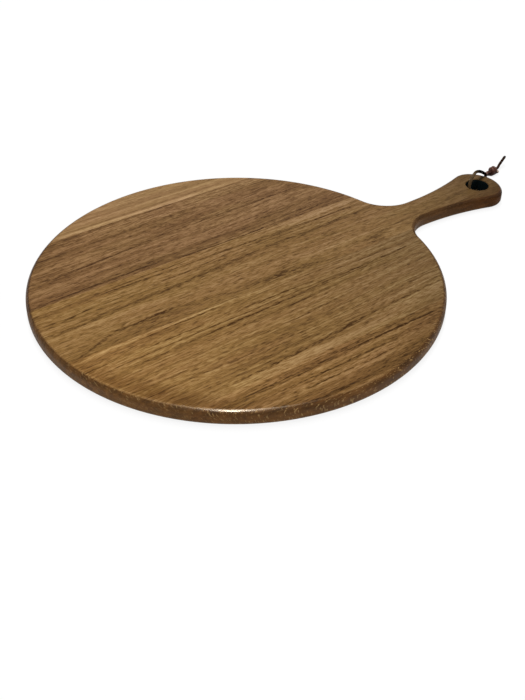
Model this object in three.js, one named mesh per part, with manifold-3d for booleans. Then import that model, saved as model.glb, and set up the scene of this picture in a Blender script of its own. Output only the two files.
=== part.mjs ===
// Round oak serving board with a paddle handle, a hanging hole and a knotted leather cord.
// Millimetres, +Z up. The handle points along +X. The origin is the centre of the disc, on the underside,
// so the board lies on the plane z = 0.
import * as THREE from 'three';
import { mergeVertices } from 'three/addons/utils/BufferGeometryUtils.js';
import Module from 'manifold-3d';

const wasm = await Module();
wasm.setup();

// Board
const DISC_DIAMETER = 400;
const THICKNESS = 15;
const EDGE_RADIUS = 5; // rounding of every outside edge, top and bottom
const ROUNDING_LIMIT = 0.45; // most that a rounding may take of the thickness

// Handle, from the disc's edge outwards
const HANDLE_LENGTH = 147; // how far it reaches past the disc
const SHOULDER_RADIUS = 36; // hollow curve between disc and neck
const NECK_WIDTH = 34; // at its narrowest
const NECK_STRAIGHT = 2; // between the shoulder and the place where the neck begins to widen
const BULB_WIDTH = 60; // the rounded end, across the hole
const BULB_CORNER_RADIUS = 21;
const END_FLATNESS = 2; // the end's radius exceeds the bulb's half width by this

// Hanging hole, on the handle's middle line
const HOLE_DIAMETER = 25;
const HOLE_END_WALL = 13.5; // wood between the hole and the handle's end
const HOLE_RIM_RADIUS = 1.5;

// Staves: planks glued edge to edge, with the grain along the handle, which is sawn from the middle plank
const REAR_EDGE_STAVE_WIDTH = 46; // from the disc's rear edge to its glue line
const HANDLE_STAVE_REAR_SPARE = 26; // from the bulb's widest place back to the glue line
const HANDLE_STAVE_FRONT_SPARE = 1; // from the bulb's widest place forward to the glue line
const FRONT_EDGE_STAVE_WIDTH = 58; // from the disc's front edge to its glue line
const GLUE_LINE = 0.1;

// Leather cord: one length, looped through the hole and round the end of the handle, and tied to itself
const CORD_DIAMETER = 2.8;
const CORD_CLEARANCE = 0.4; // gap between neighbouring strands, and between cord and notch
const CORD_LIFT = 0.1; // the cord's underside lies this far above the rest plane
const CORD_SIDES = 8;
const CORD_STEPS = 230;
const LOOP_BEARING = 18; // degrees from the handle's middle line to the upright plane of the loop
const LOOP_OFFSET = 4; // from the hole's middle to that plane
const KNOT_ALONG = 59.6; // the knot's middle, from the hole's middle, in the loop's directions
const KNOT_ASIDE = 8.7;
const KNOT_TURN = -9; // degrees from the loop's bearing to the knot's axis
const KNOT_WRAPS = 2;
const KNOT_PITCH = 4; // from wrap to wrap, along the knot's axis
const KNOT_FIRST = -45; // degrees round that axis at which the wraps begin: 0 is its front, 90 its top
const KNOT_STEPS_PER_WRAP = 12;

// Fineness of the faceted solids
const ARC_TOLERANCE = 0.06; // furthest that a chord lies from its arc
const EDGE_STEPS = 5;
const HOLE_STEPS = 48;
const NOTCH_STEPS = 4;
const MERGE_DISTANCE = 1e-4; // points closer than this are one
const SAMPLES_PER_STEP = 4; // for measuring the cord
const NEIGHBOUR_DIAMETERS = 3; // places of the cord that are nearer along it than this are neighbours

// Finishes
const OAK_ROUGHNESS = 0.5;
const LEATHER_ROUGHNESS = 0.6;

// Sizes that follow from those above
const discRadius = DISC_DIAMETER / 2;
const edgeRadius = Math.min(EDGE_RADIUS, ROUNDING_LIMIT * THICKNESS);
const handleEnd = discRadius + HANDLE_LENGTH;
const neckHalf = NECK_WIDTH / 2;
const bulbHalf = BULB_WIDTH / 2;
const cornerRadius = Math.min(BULB_CORNER_RADIUS, bulbHalf);
const holeRadius = HOLE_DIAMETER / 2;
const rimRadius = Math.min(HOLE_RIM_RADIUS, ROUNDING_LIMIT * THICKNESS);
const holeX = handleEnd - HOLE_END_WALL - holeRadius;
const cordRadius = CORD_DIAMETER / 2;
const strandPitch = CORD_DIAMETER + CORD_CLEARANCE;
const cordFloor = CORD_LIFT + cordRadius; // height of a strand that lies on the rest plane
const { degToRad } = THREE.MathUtils;

// Points along an arc, with chords no further from it than the tolerance
function arc(x, y, radius, from, to) {
  const step = 2 * Math.acos(1 - ARC_TOLERANCE / radius);
  const count = Math.max(2, Math.ceil(Math.abs(to - from) / step));
  return Array.from({ length: count + 1 }, (_, i) => {
    const angle = from + ((to - from) * i) / count;
    return new THREE.Vector2(x + radius * Math.cos(angle), y + radius * Math.sin(angle));
  });
}

// Rear half of the board's plan, from the back of the disc to the handle's end: five arcs that meet in line.
// They are the disc, the hollow shoulder, the long hollow side of the neck, the bulb's corner and its end.
function rearHalfOutline() {
  const shoulderY = neckHalf + SHOULDER_RADIUS;
  const shoulderX = Math.sqrt((discRadius + SHOULDER_RADIUS) ** 2 - shoulderY ** 2);
  const shoulderAngle = Math.atan2(shoulderY, shoulderX);

  const endRadius = bulbHalf + END_FLATNESS;
  const endX = handleEnd - endRadius;
  const cornerY = bulbHalf - cornerRadius;
  const cornerX = endX + Math.sqrt((endRadius - cornerRadius) ** 2 - cornerY ** 2);
  const endAngle = Math.atan2(cornerY, cornerX - endX);

  const neckX = shoulderX + NECK_STRAIGHT;
  const rise = neckHalf - cornerY;
  const neckRadius =
    ((cornerX - neckX) ** 2 + rise ** 2 - cornerRadius ** 2) / (2 * (bulbHalf - neckHalf));
  const neckY = neckHalf + neckRadius;
  const neckAngle = Math.atan2(cornerY - neckY, cornerX - neckX);

  return [
    ...arc(0, 0, discRadius, Math.PI, shoulderAngle),
    ...arc(shoulderX, shoulderY, SHOULDER_RADIUS, Math.PI + shoulderAngle, 1.5 * Math.PI),
    ...arc(neckX, neckY, neckRadius, -Math.PI / 2, neckAngle),
    ...arc(cornerX, cornerY, cornerRadius, Math.PI + neckAngle, endAngle),
    ...arc(endX, 0, endRadius, endAngle, 0),
  ];
}

// The whole plan: the rear half and its mirror image, without doubled points
function boardShape() {
  const rear = rearHalfOutline();
  const front = rear.map((p) => new THREE.Vector2(p.x, -p.y)).reverse();
  const all = [...rear, ...front];
  return new THREE.Shape(all.filter((p, i) => p.distanceTo(all[(i + 1) % all.length]) > ARC_TOLERANCE));
}

// A closed three.js geometry as a solid for joining and cutting
function solidOf(geometry) {
  const bare = geometry.clone();
  bare.deleteAttribute('normal');
  bare.deleteAttribute('uv');
  const merged = mergeVertices(bare, MERGE_DISTANCE);
  const corners = merged.index.array;
  const triangles = [];
  for (let i = 0; i < corners.length; i += 3) {
    const [a, b, c] = corners.slice(i, i + 3);
    if (a !== b && b !== c && c !== a) triangles.push(a, b, c);
  }
  const vertProperties = new Float32Array(merged.attributes.position.array);
  const triVerts = new Uint32Array(triangles);
  return new wasm.Manifold(new wasm.Mesh({ numProp: 3, vertProperties, triVerts }));
}

// A solid back as a three.js geometry
function geometryOf(solid) {
  const { vertProperties, triVerts } = solid.getMesh();
  const geometry = new THREE.BufferGeometry();
  geometry.setAttribute('position', new THREE.BufferAttribute(new Float32Array(vertProperties), 3));
  geometry.setIndex(new THREE.BufferAttribute(new Uint32Array(triVerts), 1));
  geometry.computeVertexNormals();
  return geometry;
}

// The slab in one piece: the plan extruded, with a quarter-round along both edges
function slab() {
  const geometry = new THREE.ExtrudeGeometry(boardShape(), {
    depth: THICKNESS - 2 * edgeRadius,
    bevelEnabled: true,
    bevelThickness: edgeRadius,
    bevelSize: edgeRadius,
    bevelOffset: -edgeRadius,
    bevelSegments: EDGE_STEPS,
  });
  geometry.translate(0, 0, edgeRadius);
  return solidOf(geometry);
}

// The hole's space: a cylinder that flares at both faces into the rounded rims
function holeCutter() {
  const mouth = holeRadius + rimRadius;
  const upperRim = arc(mouth, THICKNESS - rimRadius, rimRadius, Math.PI, Math.PI / 2);
  const lowerRim = upperRim.map((p) => new THREE.Vector2(p.x, THICKNESS - p.y)).reverse();
  const geometry = new THREE.LatheGeometry(
    [
      new THREE.Vector2(0, -rimRadius),
      new THREE.Vector2(mouth, -rimRadius),
      ...lowerRim,
      ...upperRim,
      new THREE.Vector2(mouth, THICKNESS + rimRadius),
      new THREE.Vector2(0, THICKNESS + rimRadius),
    ],
    HOLE_STEPS,
  );
  geometry.rotateX(Math.PI / 2);
  geometry.translate(holeX, 0, 0);
  return solidOf(geometry);
}

// The loop's own directions: along its upright plane, aside to the rear, and up, from the hole's middle
const UP = new THREE.Vector3(0, 0, 1);
const along = new THREE.Vector3(1, 0, 0).applyAxisAngle(UP, degToRad(LOOP_BEARING));
const aside = along.clone().applyAxisAngle(UP, Math.PI / 2);

function loopPoint(a, b, height) {
  return new THREE.Vector3(holeX, 0, height).addScaledVector(along, a).addScaledVector(aside, b);
}

// The notch across the underside, from the hole to the handle's end, that lets the board lie flat on its cord
function notchCutter() {
  const half = cordRadius + CORD_CLEARANCE;
  const shape = new THREE.Shape();
  shape.moveTo(-half, -half);
  shape.lineTo(half, -half);
  shape.lineTo(half, cordFloor);
  shape.absarc(0, cordFloor, half, 0, Math.PI, false);
  shape.lineTo(-half, -half);
  const length = 2 * (handleEnd - holeX);
  const options = { depth: length, bevelEnabled: false, curveSegments: NOTCH_STEPS };
  const geometry = new THREE.ExtrudeGeometry(shape, options);
  geometry.applyMatrix4(new THREE.Matrix4().makeBasis(aside, UP, along));
  const start = loopPoint(0, LOOP_OFFSET, 0);
  geometry.translate(start.x, start.y, start.z);
  return solidOf(geometry);
}

// One stave: what lies of the board between two glue lines, less half a glue line on each glued side
function stave(board, front, rear) {
  const plank = new THREE.BoxGeometry(3 * handleEnd, rear - front - GLUE_LINE, 3 * THICKNESS);
  plank.translate(0, (rear + front) / 2, 0);
  return geometryOf(board.intersect(solidOf(plank)));
}

// The knot's directions: along its axis, to its rear side, and up, from its middle
const knotAxis = along.clone().applyAxisAngle(UP, degToRad(KNOT_TURN));
const knotSide = knotAxis.clone().applyAxisAngle(UP, Math.PI / 2);
const wrapRadius = strandPitch;
const wrapHalf = (KNOT_WRAPS * KNOT_PITCH) / 2;
const knotHeight = cordFloor + wrapRadius;

function knotPoint(a, b, height) {
  return loopPoint(KNOT_ALONG, KNOT_ASIDE, knotHeight + height)
    .addScaledVector(knotAxis, a)
    .addScaledVector(knotSide, b);
}

// The wraps: a helix of the short end round the strand that goes on as the tail
function knotWraps() {
  const count = KNOT_WRAPS * KNOT_STEPS_PER_WRAP;
  return Array.from({ length: count + 1 }, (_, i) => {
    const turn = i / KNOT_STEPS_PER_WRAP;
    const angle = degToRad(KNOT_FIRST) + 2 * Math.PI * turn;
    return knotPoint(
      KNOT_PITCH * turn - wrapHalf,
      -wrapRadius * Math.cos(angle),
      wrapRadius * Math.sin(angle),
    );
  });
}

// The cord's middle line, from the tip of its long tail to its short end: through the knot, over the end of the
// handle in a standing arch, down the hole, under the wood, and round the first strand in the knot.
function cordRoute() {
  const side = LOOP_OFFSET;
  const cut = wrapRadius * Math.SQRT1_2;
  return new THREE.CatmullRomCurve3(
    [
      loopPoint(90.8, 9.6, 10),
      loopPoint(77, 9.1, 5.6),
      knotPoint(8.2, -0.2, 0.7),
      knotPoint(4, 0, 0),
      knotPoint(0, 0, 0),
      knotPoint(-4, 0, 0),
      knotPoint(-8, 0.6, 0.9),
      loopPoint(45, 10.2, 7),
      loopPoint(38.5, 8.2, 9.4),
      loopPoint(32.5, 6, 12),
      loopPoint(27.8, 4.6, THICKNESS + 0.5),
      loopPoint(23.6, side, THICKNESS + 3),
      loopPoint(17.8, side, THICKNESS + 6.6),
      loopPoint(9, side, THICKNESS + 11.2),
      loopPoint(1, side, THICKNESS + 13.6),
      loopPoint(-5, side, THICKNESS + 12.2),
      loopPoint(-8.9, 4.4, THICKNESS + 6.5),
      loopPoint(-9.6, 4.6, THICKNESS - 1.5),
      loopPoint(-6, 4.2, 8.6),
      loopPoint(0, side, 4.6),
      loopPoint(6.5, side, 2.3),
      loopPoint(13, side, cordFloor),
      loopPoint(24, side, cordFloor),
      loopPoint(34, 5.6, cordFloor),
      loopPoint(43, 8.9, cordFloor),
      knotPoint(-9.5, 2.7, -wrapRadius),
      knotPoint(-6.4, 1.5, -wrapRadius),
      knotPoint(-4.5, -0.3, -wrapRadius),
      ...knotWraps(),
      knotPoint(wrapHalf + 0.6, -cut - 1.7, 1.5 - cut),
    ],
    false,
    'centripetal',
  );
}

// Least gap between two places of the cord that are not neighbours along it, measured between points
function leastGap(route) {
  const count = SAMPLES_PER_STEP * CORD_STEPS;
  const points = route.getSpacedPoints(count);
  const apart = Math.ceil((NEIGHBOUR_DIAMETERS * CORD_DIAMETER * count) / route.getLength());
  let least = Infinity;
  for (let i = 0; i < points.length; i += 1) {
    for (let j = i + apart; j < points.length; j += 1) {
      least = Math.min(least, points[i].distanceTo(points[j]));
    }
  }
  return least - CORD_DIAMETER;
}

function cord() {
  const route = cordRoute();
  route.arcLengthDivisions = SAMPLES_PER_STEP * CORD_STEPS;
  const section = new THREE.Shape();
  for (let i = 0; i < CORD_SIDES; i += 1) {
    const angle = (2 * Math.PI * i) / CORD_SIDES;
    const [x, y] = [cordRadius * Math.cos(angle), cordRadius * Math.sin(angle)];
    if (i === 0) section.moveTo(x, y);
    else section.lineTo(x, y);
  }
  const length = route.getLength().toFixed(1);
  const gap = leastGap(route).toFixed(2);
  console.log(`cord: ${length} mm long, least gap to itself ${gap} mm`);
  return new THREE.ExtrudeGeometry(section, { steps: CORD_STEPS, extrudePath: route, bevelEnabled: false });
}

function piece(name, geometry, color, roughness) {
  const mesh = new THREE.Mesh(geometry, new THREE.MeshStandardMaterial({ color, roughness, metalness: 0 }));
  mesh.name = name;
  return mesh;
}

const board = slab().subtract(holeCutter()).subtract(notchCutter());
const outside = 2 * discRadius;
const rearEdgeLine = discRadius - REAR_EDGE_STAVE_WIDTH;
const rearLine = bulbHalf + HANDLE_STAVE_REAR_SPARE;
const frontLine = -bulbHalf - HANDLE_STAVE_FRONT_SPARE;
const frontEdgeLine = FRONT_EDGE_STAVE_WIDTH - discRadius;

const servingBoard = new THREE.Group();
servingBoard.add(
  piece('rear_edge_stave', stave(board, rearEdgeLine, outside), 0x977749, OAK_ROUGHNESS),
  piece('rear_stave', stave(board, rearLine, rearEdgeLine), 0x7b6040, OAK_ROUGHNESS),
  piece('handle_stave', stave(board, frontLine, rearLine), 0x806443, OAK_ROUGHNESS),
  piece('front_stave', stave(board, frontEdgeLine, frontLine), 0x8a6c45, OAK_ROUGHNESS),
  piece('front_edge_stave', stave(board, -outside, frontEdgeLine), 0x7d5f3b, OAK_ROUGHNESS),
  piece('leather_cord', cord(), 0x4a2a1c, LEATHER_ROUGHNESS),
);

export default servingBoard;
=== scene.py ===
"""Round oak serving board with a paddle handle and a knotted leather cord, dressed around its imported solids.

Metres, +Z up. The handle points along +X, the disc's centre is the origin and the underside lies on z = 0.
"""
import math

import bmesh
import bpy
import numpy as np
from mathutils import Matrix, Vector


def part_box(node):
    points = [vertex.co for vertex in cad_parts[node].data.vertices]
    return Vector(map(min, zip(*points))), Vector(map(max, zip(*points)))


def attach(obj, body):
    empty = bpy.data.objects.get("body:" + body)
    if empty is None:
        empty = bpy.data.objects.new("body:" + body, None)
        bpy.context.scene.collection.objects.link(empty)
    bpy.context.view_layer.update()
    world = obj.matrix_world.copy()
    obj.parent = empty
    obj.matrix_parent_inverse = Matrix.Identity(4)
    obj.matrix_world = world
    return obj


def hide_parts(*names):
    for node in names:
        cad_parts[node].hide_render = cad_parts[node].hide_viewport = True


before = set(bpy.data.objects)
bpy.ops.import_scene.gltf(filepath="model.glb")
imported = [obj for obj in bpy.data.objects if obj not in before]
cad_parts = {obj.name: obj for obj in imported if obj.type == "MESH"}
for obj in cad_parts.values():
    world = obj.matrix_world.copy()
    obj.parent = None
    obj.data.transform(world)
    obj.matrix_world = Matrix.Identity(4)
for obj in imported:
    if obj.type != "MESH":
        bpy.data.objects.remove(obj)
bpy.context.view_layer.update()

MM = 0.001
MERGE_DISTANCE = 1e-6  # points closer than this are one
SAME_PLACE = 1e-7  # rows closer than this are the same row

# Photograph's view: a pinhole camera fitted to the board's outline
IMAGE_WIDTH, IMAGE_HEIGHT = 525, 700
FOCAL_PIXELS = 1000
SENSOR = 36
CAMERA_DISTANCE = 0.96926
CAMERA_ELEVATION = math.radians(37.767)
CAMERA_AZIMUTH = math.radians(-35.685)
CAMERA_ROLL = math.radians(0.744)
ORIGIN_PIXEL = (237.219, 287.947)
CLIP_START = 0.01

# Board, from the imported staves
STAVES = ("rear_edge_stave", "rear_stave", "handle_stave", "front_stave", "front_edge_stave")
stave_box = {name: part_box(name) for name in STAVES}
handle_low, handle_high = stave_box["handle_stave"]
DISC_RADIUS = -handle_low.x
HANDLE_END = handle_high.x
THICKNESS = handle_high.z
EDGE_RADIUS = 5 * MM
SHOULDER_RADIUS = 36 * MM
NECK_HALF = 17 * MM
NECK_STRAIGHT = 2 * MM
BULB_HALF = 30 * MM
BULB_CORNER_RADIUS = 21 * MM
END_FLATNESS = 2 * MM
HOLE_RADIUS = 12.5 * MM
HOLE_END_WALL = 13.5 * MM
HOLE_RIM_RADIUS = 1.5 * MM
HOLE_X = HANDLE_END - HOLE_END_WALL - HOLE_RADIUS
GLUE_LINE = 0.02 * MM
ARC_STEP = math.radians(1.0)
LEAST_ARC_STEPS = 4
CUT_SEARCH = 0.25  # a cut is looked for this share of an arc from its end
ARCS_BEFORE_TIP = 4  # the front side's shoulder, neck, corner and end come before the handle's tip
EDGE_STEPS = 14
HOLE_STEPS = 96
NOTCH_STEPS = 12

# Cord
CORD_DIAMETER = 2.8 * MM
CORD_RADIUS = CORD_DIAMETER / 2
CORD_CLEARANCE = 0.4 * MM
CORD_LIFT = 0.1 * MM
CORD_FLOOR = CORD_LIFT + CORD_RADIUS
CORD_SIDES = 18
CORD_RINGS = 1200
PATH_POINTS = 500
STRETCH_STEPS = 60  # samples between two points of the route
LOOP_BEARING = math.radians(18)
LOOP_OFFSET = 4 * MM
KNOT_ALONG = 59.6 * MM
KNOT_ASIDE = 8.7 * MM
KNOT_TURN = math.radians(-9)
KNOT_WRAPS = 2
KNOT_PITCH = 4 * MM
KNOT_FIRST = math.radians(-45)
KNOT_STEPS_PER_WRAP = 12
KNOT_SWELL = 0.18  # pulled tight, the leather fills the knot's gaps: share of the radius
KNOT_REACH = 8 * MM  # from the knot's middle, with the full swell in the inner half
ARCH_SWELL = 0.1  # bent over the handle's end, the leather spreads: share of the radius
ARCH_MIDDLE = 92 * MM  # from the tail's tip
ARCH_HALF = 36 * MM
ARCH_EASE = 10 * MM
FULLNESS = 1.1  # the thong is rolled from a flat strip, so it stands a little proud of its nominal size
TIP_TAPER = 3 * MM
TIP_SHARE = 0.85
THICK_AND_THIN = ((0.025, 4.1 * MM, 0.0), (0.02, 1.7 * MM, 1.0))  # share of radius, length per radian, phase
TWIST_RIDGES = 2
TWIST_PITCH = 5.2 * MM
TWIST_DEPTH = 0.035
TWIST_REACH = 30 * MM  # beyond this distance from the tail's tip the twist is pulled nearly smooth
TWIST_LEAST = 0.25
TWIST_EASE = 4 * MM


def mesh_object(name, vertices, faces, smooth):
    """A mesh object at the origin from an array of points, lists of corners and a smooth flag per face."""
    mesh = bpy.data.meshes.new(name)
    mesh.from_pydata(vertices.tolist(), [], faces)
    mesh.polygons.foreach_set("use_smooth", np.asarray(smooth, dtype=bool))
    mesh.update()
    made = bpy.data.objects.new(name, mesh)
    bpy.context.scene.collection.objects.link(made)
    return made


def grid_faces(rows, columns, first=0, closed=False):
    """Quads between neighbouring points of a grid stored by rows; closed joins the last row to the first."""
    row = np.arange(rows if closed else rows - 1)
    column = np.arange(columns - 1)
    here = (row[:, None] * columns + column[None, :]).ravel()
    below = (((row + 1) % rows)[:, None] * columns + column[None, :]).ravel()
    return (first + np.stack([here, below, below + 1, here + 1], axis=1)).tolist()


def turn_outwards(piece):
    """Merges doubled points, turns every face of a closed piece outwards, and makes the edges of its flat
    faces sharp, so that the rounded faces beside them keep their own shading."""
    shape = bmesh.new()
    shape.from_mesh(piece.data)
    bmesh.ops.remove_doubles(shape, verts=shape.verts, dist=MERGE_DISTANCE)
    bmesh.ops.recalc_face_normals(shape, faces=shape.faces)
    mesh = piece.data
    shape.to_mesh(mesh)
    shape.free()
    smooth = np.empty(len(mesh.polygons), dtype=bool)
    corners = np.empty(len(mesh.polygons), dtype=np.int32)
    edge_of_corner = np.empty(len(mesh.loops), dtype=np.int32)
    mesh.polygons.foreach_get("use_smooth", smooth)
    mesh.polygons.foreach_get("loop_total", corners)
    mesh.loops.foreach_get("edge_index", edge_of_corner)
    sharp = np.zeros(len(mesh.edges), dtype=bool)
    sharp[edge_of_corner[np.repeat(~smooth, corners)]] = True
    mesh.edges.foreach_set("use_edge_sharp", sharp)
    mesh.update()


# Camera
def photograph_camera():
    """A camera whose back, right and up axes follow from azimuth, elevation and roll, set back along its axis
    and moved across it so that the board's origin lands on its pixel. Its sensor lies along the picture's
    height."""
    a, e, roll = CAMERA_AZIMUTH, CAMERA_ELEVATION, CAMERA_ROLL
    back = np.array([math.sin(a) * math.cos(e), -math.cos(a) * math.cos(e), math.sin(e)])
    level = np.array([math.cos(a), math.sin(a), 0.0])
    upright = np.cross(back, level)
    right = math.cos(roll) * level + math.sin(roll) * upright
    up = math.cos(roll) * upright - math.sin(roll) * level
    aside = (ORIGIN_PIXEL[0] - IMAGE_WIDTH / 2) / FOCAL_PIXELS * CAMERA_DISTANCE
    above = (IMAGE_HEIGHT / 2 - ORIGIN_PIXEL[1]) / FOCAL_PIXELS * CAMERA_DISTANCE
    place = CAMERA_DISTANCE * back - aside * right - above * up
    data = bpy.data.cameras.new("photograph_view")
    data.sensor_width = SENSOR
    data.lens = FOCAL_PIXELS / IMAGE_HEIGHT * SENSOR
    data.clip_start = CLIP_START
    camera = bpy.data.objects.new("photograph_view", data)
    turned = Matrix(np.stack([right, up, back], axis=1).tolist()).to_4x4()
    camera.matrix_world = Matrix.Translation(Vector(place)) @ turned
    bpy.context.scene.collection.objects.link(camera)
    bpy.context.scene.camera = camera


# Cord's route
ALONG = np.array([math.cos(LOOP_BEARING), math.sin(LOOP_BEARING), 0.0])
ASIDE = np.array([-math.sin(LOOP_BEARING), math.cos(LOOP_BEARING), 0.0])
UP = np.array([0.0, 0.0, 1.0])
KNOT_BEARING = LOOP_BEARING + KNOT_TURN
KNOT_AXIS = np.array([math.cos(KNOT_BEARING), math.sin(KNOT_BEARING), 0.0])
KNOT_SIDE = np.array([-math.sin(KNOT_BEARING), math.cos(KNOT_BEARING), 0.0])
WRAP_RADIUS = CORD_DIAMETER + CORD_CLEARANCE
WRAP_HALF = KNOT_WRAPS * KNOT_PITCH / 2
KNOT_MIDDLE = (
    np.array([HOLE_X, 0.0, CORD_FLOOR + WRAP_RADIUS]) + KNOT_ALONG * ALONG + KNOT_ASIDE * ASIDE
)


def loop_point(along, aside, height):
    """Points in the loop's directions, from the hole's middle on the rest plane."""
    return np.array([HOLE_X, 0.0, 0.0]) + along * ALONG + aside * ASIDE + height * UP


def knot_point(along, aside, height):
    """Points in the knot's directions, from its middle."""
    return KNOT_MIDDLE + along * KNOT_AXIS + aside * KNOT_SIDE + height * UP


def knot_wraps():
    """A helix of the short end round the strand that goes on as the tail: its angle and its place along the
    knot grow evenly with the turn."""
    turn = np.arange(KNOT_WRAPS * KNOT_STEPS_PER_WRAP + 1)[:, None] / KNOT_STEPS_PER_WRAP
    angle = KNOT_FIRST + 2 * math.pi * turn
    along = KNOT_PITCH * turn - WRAP_HALF
    return knot_point(along, -WRAP_RADIUS * np.cos(angle), WRAP_RADIUS * np.sin(angle))


def cord_points():
    """The route's points, from the tip of the tail to the short end, in millimetres in the loop's and the
    knot's directions: through the knot, over the handle's end, down the hole, under the wood and round the
    first strand."""
    side = LOOP_OFFSET / MM
    top = THICKNESS / MM
    floor = CORD_FLOOR / MM
    wrap = WRAP_RADIUS / MM
    cut = wrap * math.sqrt(0.5)
    tail = [(90.8, 9.6, 10), (77, 9.1, 5.6)]
    core = [(8.2, -0.2, 0.7), (4, 0, 0), (0, 0, 0), (-4, 0, 0), (-8, 0.6, 0.9)]
    loop = [
        (45, 10.2, 7), (38.5, 8.2, 9.4), (32.5, 6, 12), (27.8, 4.6, top + 0.5), (23.6, side, top + 3),
        (17.8, side, top + 6.6), (9, side, top + 11.2), (1, side, top + 13.6), (-5, side, top + 12.2),
        (-8.9, 4.4, top + 6.5), (-9.6, 4.6, top - 1.5), (-6, 4.2, 8.6), (0, side, 4.6), (6.5, side, 2.3),
        (13, side, floor), (24, side, floor), (34, 5.6, floor), (43, 8.9, floor),
    ]
    under = [(-9.5, 2.7, -wrap), (-6.4, 1.5, -wrap), (-4.5, -0.3, -wrap)]
    short_end = [(WRAP_HALF / MM + 0.6, -cut - 1.7, 1.5 - cut)]

    def placed(directions, points):
        """Points in millimetres, placed in the loop's or the knot's directions."""
        return directions(*np.split(MM * np.array(points), 3, axis=1))

    return np.concatenate([
        placed(loop_point, tail), placed(knot_point, core), placed(loop_point, loop),
        placed(knot_point, under), knot_wraps(), placed(knot_point, short_end),
    ])


def smooth_route(points, count):
    """Centripetal Catmull-Rom curve through the points, sampled at equal steps of its length: each stretch is
    a cubic whose end slopes come from the neighbouring points, weighted by the square roots of their
    distances. Also the curve's length."""
    before = 2 * points[:1] - points[1:2]
    after = 2 * points[-1:] - points[-2:-1]
    p = np.concatenate([before, points, after])
    step = np.sqrt(np.linalg.norm(np.diff(p, axis=0), axis=1))[:, None]
    d0, d1, d2 = step[:-2], step[1:-1], step[2:]
    p0, p1, p2, p3 = p[:-3], p[1:-2], p[2:-1], p[3:]
    slope1 = d1 * ((p1 - p0) / d0 - (p2 - p0) / (d0 + d1) + (p2 - p1) / d1)
    slope2 = d1 * ((p2 - p1) / d1 - (p3 - p1) / (d1 + d2) + (p3 - p2) / d2)
    t = np.linspace(0, 1, STRETCH_STEPS, endpoint=False)[None, :, None]
    squared = 3 * (p2 - p1) - 2 * slope1 - slope2
    cubed = 2 * (p1 - p2) + slope1 + slope2
    a, b, c, d = (v[:, None, :] for v in (p1, slope1, squared, cubed))
    fine = np.concatenate([(a + t * (b + t * (c + t * d))).reshape(-1, 3), points[-1:]])
    length = np.concatenate([[0], np.cumsum(np.linalg.norm(np.diff(fine, axis=0), axis=1))])
    even = np.linspace(0, length[-1], count)
    return np.stack([np.interp(even, length, fine[:, k]) for k in range(3)], axis=1), length[-1]


def leather_cord(material):
    """A round tube along the route: rings of points square to it, turned as little as possible from ring to
    ring, a little fuller in the knot and over the handle's end, thinner at the tip of the tail, pressed flat
    where it lies on the rest plane, and closed by two cut ends. Its twist is two low ridges that wind round
    the tube."""
    centre, length = smooth_route(cord_points(), CORD_RINGS)
    ahead = np.gradient(centre, axis=0)
    ahead /= np.linalg.norm(ahead, axis=1)[:, None]
    across = np.empty_like(centre)
    across[0] = np.cross(ahead[0], UP)
    for i in range(1, CORD_RINGS):
        across[i] = across[i - 1] - ahead[i] * (across[i - 1] @ ahead[i])
        across[i] /= np.linalg.norm(across[i])
    third = np.cross(ahead, across)
    travelled = np.linspace(0, length, CORD_RINGS)
    from_knot = np.linalg.norm(centre - KNOT_MIDDLE, axis=1)
    fuller = 1 + KNOT_SWELL * np.clip(2 - 2 * from_knot / KNOT_REACH, 0, 1)
    from_arch = np.abs(travelled - ARCH_MIDDLE)
    fuller += ARCH_SWELL * np.clip((ARCH_HALF - from_arch) / ARCH_EASE, 0, 1)
    taper = TIP_SHARE + (1 - TIP_SHARE) * np.clip(travelled / TIP_TAPER, 0, 1)
    uneven = 1 + sum(share * np.sin(travelled / wave + phase) for share, wave, phase in THICK_AND_THIN)
    angle = 2 * math.pi * np.arange(CORD_SIDES) / CORD_SIDES
    loose = np.clip((TWIST_REACH - travelled) / TWIST_EASE, TWIST_LEAST, 1)
    winding = TWIST_RIDGES * angle[None, :] + 2 * math.pi * travelled[:, None] / TWIST_PITCH
    twist = loose[:, None] * np.sin(winding)
    radius = FULLNESS * CORD_RADIUS * (fuller * taper * uneven)[:, None] * (1 + TWIST_DEPTH * twist)
    turn = angle[None, :, None]
    spoke = across[:, None, :] * np.cos(turn) + third[:, None, :] * np.sin(turn)
    rings = centre[:, None, :] + radius[:, :, None] * spoke
    rings[:, :, 2] = np.maximum(rings[:, :, 2], 0)
    vertices = rings.reshape(-1, 3)
    ring = np.arange(CORD_RINGS - 1)[:, None] * CORD_SIDES
    side = np.arange(CORD_SIDES)[None, :]
    following = (side + 1) % CORD_SIDES
    quads = np.stack(
        [ring + side, ring + following, ring + CORD_SIDES + following, ring + CORD_SIDES + side], axis=2
    ).reshape(-1, 4).tolist()
    last = (CORD_RINGS - 1) * CORD_SIDES
    ends = [list(range(CORD_SIDES))[::-1], list(range(last, last + CORD_SIDES))]
    smooth = [True] * len(quads) + [False] * len(ends)
    cord = mesh_object("knotted_leather_cord", vertices, quads + ends, smooth)
    turn_outwards(cord)
    from_tip = np.repeat(travelled / MM, CORD_SIDES)
    for attribute, values in (("from_tip", from_tip), ("twist", twist.ravel())):
        cord.data.attributes.new(attribute, "FLOAT", "POINT").data.foreach_set("value", values)
    cord.data.materials.append(material)
    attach(cord, "root")
    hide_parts("leather_cord")
    path, length = smooth_route(cord_points(), PATH_POINTS)


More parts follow.
